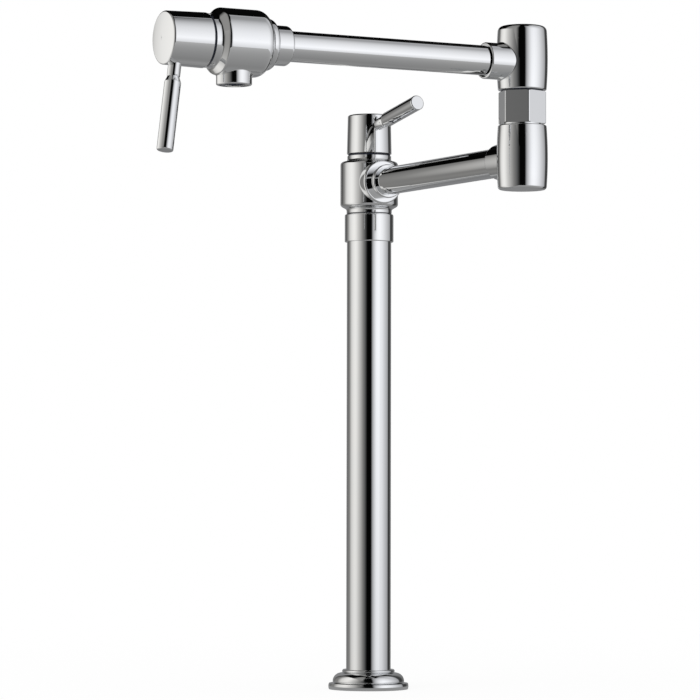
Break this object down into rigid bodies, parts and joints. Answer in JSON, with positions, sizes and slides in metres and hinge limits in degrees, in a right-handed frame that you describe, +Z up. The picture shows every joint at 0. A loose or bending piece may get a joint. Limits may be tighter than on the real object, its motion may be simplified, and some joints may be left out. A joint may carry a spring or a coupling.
{
  "type": "deck-mounted pot filler",
  "caption": "Tall chrome pot filler tap for a worktop: a round post with a swivelling valve head, a jointed folding arm and a spout head with its own lever shut-off.",
  "frame": {"origin": "on the deck, on the post's axis, at the mouth of the supply thread", "axes": "+Z up along the post; at rest the lower arm lies along +X and the upper arm along -Y"},
  "size_m": [0.3138, 0.3565, 0.5372],
  "materials": {
    "chrome_plate": "polished chrome plate on brass",
    "turned_brass": "turned, bare",
    "copper_pipe": "drawn copper, bare",
    "black_rubber": "moulded",
    "black_plastic": "moulded, satin",
    "pale_plastic": "moulded",
    "ceramic": "lapped ceramic",
    "spring_steel": "stamped"
  },
  "bodies": {
    "post": {"base_flange": "chrome_plate", "deck_gasket": "black_rubber", "post_foot": "turned_brass", "post_tube": "chrome_plate", "riser_pipe": "copper_pipe", "riser_seals": "black_rubber", "post_collar": "chrome_plate", "swivel_spigot": "turned_brass", "swivel_washer": "black_plastic", "swivel_seals": "black_rubber", "swivel_clip": "spring_steel"},
    "lower_arm": {"valve_body": "chrome_plate", "valve_glide_ring": "black_plastic", "valve_cartridge": "turned_brass", "valve_cartridge_seal": "black_rubber", "valve_fixed_disc": "ceramic", "valve_bonnet_nut": "turned_brass", "valve_spindle_seal": "black_rubber", "lower_arm_sleeve": "chrome_plate", "lower_arm_tube": "chrome_plate", "lower_elbow": "chrome_plate", "hex_union_nut": "chrome_plate"},
    "valve_handle": {"valve_handle_cap": "chrome_plate", "valve_lever": "chrome_plate", "valve_spindle": "turned_brass", "valve_turning_disc": "ceramic"},
    "upper_arm": {"upper_elbow": "chrome_plate", "elbow_stem": "turned_brass", "elbow_seals": "black_rubber", "elbow_thrust_washer": "pale_plastic", "elbow_gap_ring": "black_plastic", "upper_arm_tube": "chrome_plate", "spout_sleeve": "chrome_plate", "spout_body": "chrome_plate", "spout_glide_ring": "black_plastic", "spout_cartridge": "turned_brass", "spout_cartridge_seal": "black_rubber", "spout_fixed_disc": "ceramic", "spout_bonnet_nut": "turned_brass", "spout_spindle_seal": "black_rubber", "aerator_housing": "black_plastic", "aerator_core": "pale_plastic", "aerator_seal": "black_rubber"},
    "spout_handle": {"spout_handle_cap": "chrome_plate", "spout_lever": "chrome_plate", "spout_spindle": "turned_brass", "spout_turning_disc": "ceramic"}
  },
  "joints": [
    {"name": "base_swivel", "type": "hinge", "parent": "post", "child": "lower_arm", "pos_m": [0, 0, 0.414], "axis": [0, 0, 1], "continuous": true},
    {"name": "valve_handle_turn", "type": "hinge", "parent": "lower_arm", "child": "valve_handle", "pos_m": [0, 0, 0.45], "axis": [0, 0, 1], "range_deg": [0, 90]},
    {"name": "elbow_swivel", "type": "hinge", "parent": "lower_arm", "child": "upper_arm", "pos_m": [0.254, 0, 0.47], "axis": [0, 0, 1], "range_deg": [-75, 235]},
    {"name": "spout_handle_turn", "type": "hinge", "parent": "upper_arm", "child": "spout_handle", "pos_m": [0.254, -0.274, 0.508], "axis": [0, -1, 0], "range_deg": [-7, 83]}
  ]
}
